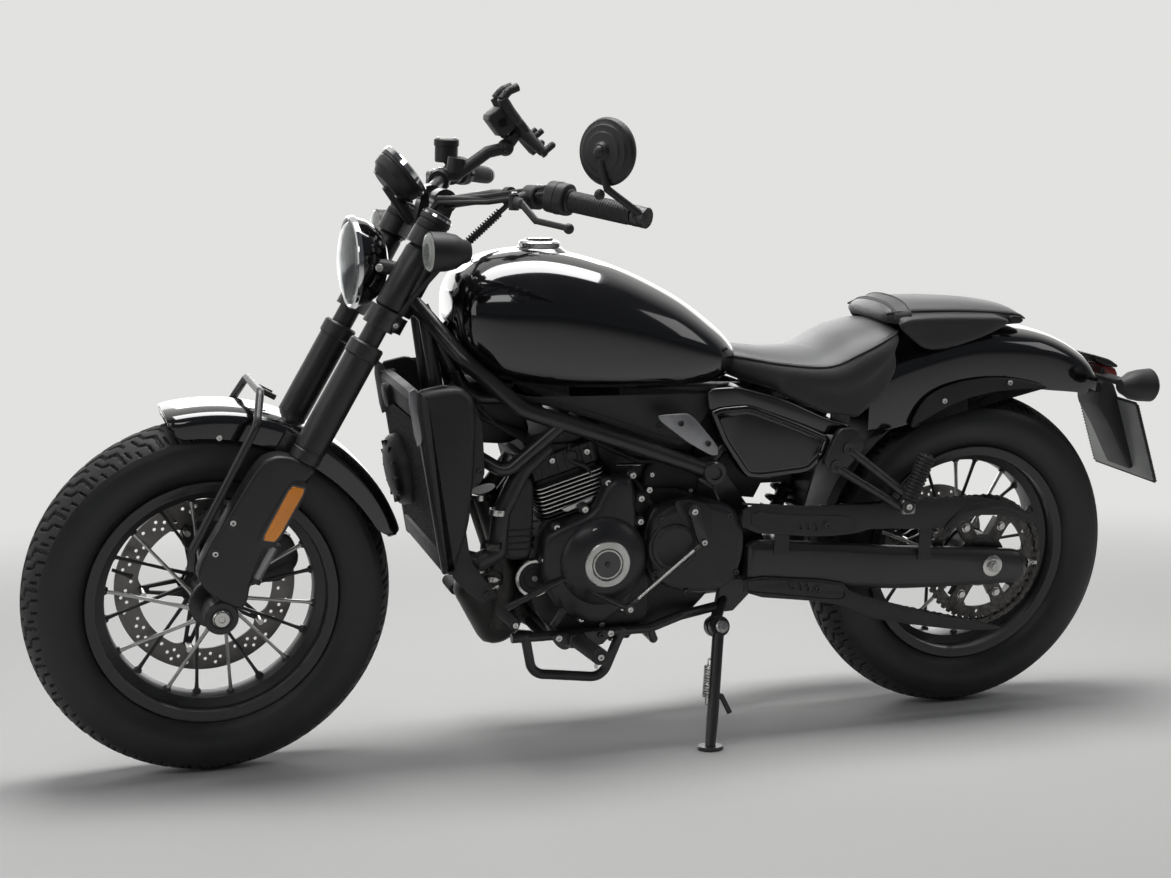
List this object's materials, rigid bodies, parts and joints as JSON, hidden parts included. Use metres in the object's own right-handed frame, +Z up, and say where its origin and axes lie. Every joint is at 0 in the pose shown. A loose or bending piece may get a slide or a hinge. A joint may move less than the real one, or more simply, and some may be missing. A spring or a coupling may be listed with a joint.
{
  "type": "cruiser motorcycle",
  "caption": "Cruiser motorcycle leaning on its side stand, with slim cast spokes, teardrop tank, scooped seat and open twin-cylinder engine.",
  "frame": {"origin": "on the floor, at the middle of the base of the parked machine's bounding box", "axes": "+X forward along the parked machine, +Y to its left, +Z up from the floor; it leans to +Y on its side stand"},
  "size_m": [2.2066, 0.8872, 1.2318],
  "materials": {
    "frame_black": "satin black",
    "engine_grey": "matte dark grey",
    "cover_grey": "satin dark grey",
    "core_black": "matte black fins",
    "matte_black": "matte black",
    "hose_rubber": "matte black rubber",
    "exhaust_black": "heat-proof black",
    "gloss_black": "gloss black",
    "satin_silver": "satin silver",
    "seat_leather": "black leather",
    "lamp_black": "black housing",
    "bright_steel": "bright steel",
    "chain_steel": "dark steel",
    "fork_black": "matte black",
    "amber_lens": "amber",
    "clear_lens": "clear",
    "grip_rubber": "ribbed rubber",
    "tyre": "black rubber",
    "wheel_black": "satin black",
    "disc_steel": "drilled steel"
  },
  "bodies": {
    "chassis": {"battery_box": "matte_black", "chain_guards": "matte_black", "coolant_hoses": "hose_rubber", "drive_chain": "chain_steel", "engine": "engine_grey", "engine_covers": "cover_grey", "exhaust": "exhaust_black", "fender_struts": "matte_black", "filler_cap": "satin_silver", "foot_controls": "frame_black", "frame": "frame_black", "front_fittings": "matte_black", "fuel_tank": "gloss_black", "gusset_plates": "satin_silver", "lower_loop": "frame_black", "pillion_pegs": "frame_black", "pillion_seat": "seat_leather", "plate_holder": "matte_black", "radiator": "core_black", "radiator_shrouds": "matte_black", "rear_axle": "bright_steel", "rear_caliper": "cover_grey", "rear_fender": "gloss_black", "rear_shock": "bright_steel", "rider_seat": "seat_leather", "side_covers": "gloss_black", "side_panels": "matte_black", "swingarm": "frame_black", "tail_lamps": "lamp_black"},
    "steering": {"fork_clamps": "frame_black", "fork_tubes": "fork_black", "fork_lowers": "fork_black", "fork_reflectors": "amber_lens", "front_axle": "bright_steel", "front_fender": "gloss_black", "fender_stay": "frame_black", "front_caliper": "cover_grey", "headlight": "gloss_black", "headlight_lens": "clear_lens", "instrument": "matte_black", "handlebar": "frame_black", "grips": "grip_rubber", "bar_controls": "matte_black", "mirror": "matte_black", "phone_holder": "matte_black", "front_signals": "lamp_black", "control_cables": "hose_rubber"},
    "front_wheel": {"front_tyre": "tyre", "front_wheel": "wheel_black", "front_disc": "disc_steel"},
    "rear_wheel": {"rear_tyre": "tyre", "rear_wheel": "wheel_black", "rear_sprocket": "chain_steel", "rear_disc": "disc_steel"},
    "side_stand": {"side_stand": "frame_black"}
  },
  "joints": [
    {"name": "steering_turn", "type": "hinge", "parent": "chassis", "child": "steering", "pos_m": [0.4294, -0.04259, 0.85801], "axis": [-0.4844, 0.1278, 0.8655], "range_deg": [-38.4, 33.6]},
    {"name": "front_wheel_spin", "type": "hinge", "parent": "steering", "child": "front_wheel", "pos_m": [0.78361, -0.12059, 0.31674], "axis": [-0.0367, 0.9854, -0.166], "continuous": true},
    {"name": "rear_wheel_spin", "type": "hinge", "parent": "chassis", "child": "rear_wheel", "pos_m": [-0.70136, -0.12201, 0.32066], "axis": [-0.0001, 0.9893, -0.1461], "continuous": true},
    {"name": "stand_fold", "type": "hinge", "parent": "chassis", "child": "side_stand", "pos_m": [-0.1314, -0.00216, 0.21477], "axis": [0.0001, 0.9888, 0.1495], "range_deg": [0, 95]}
  ]
}
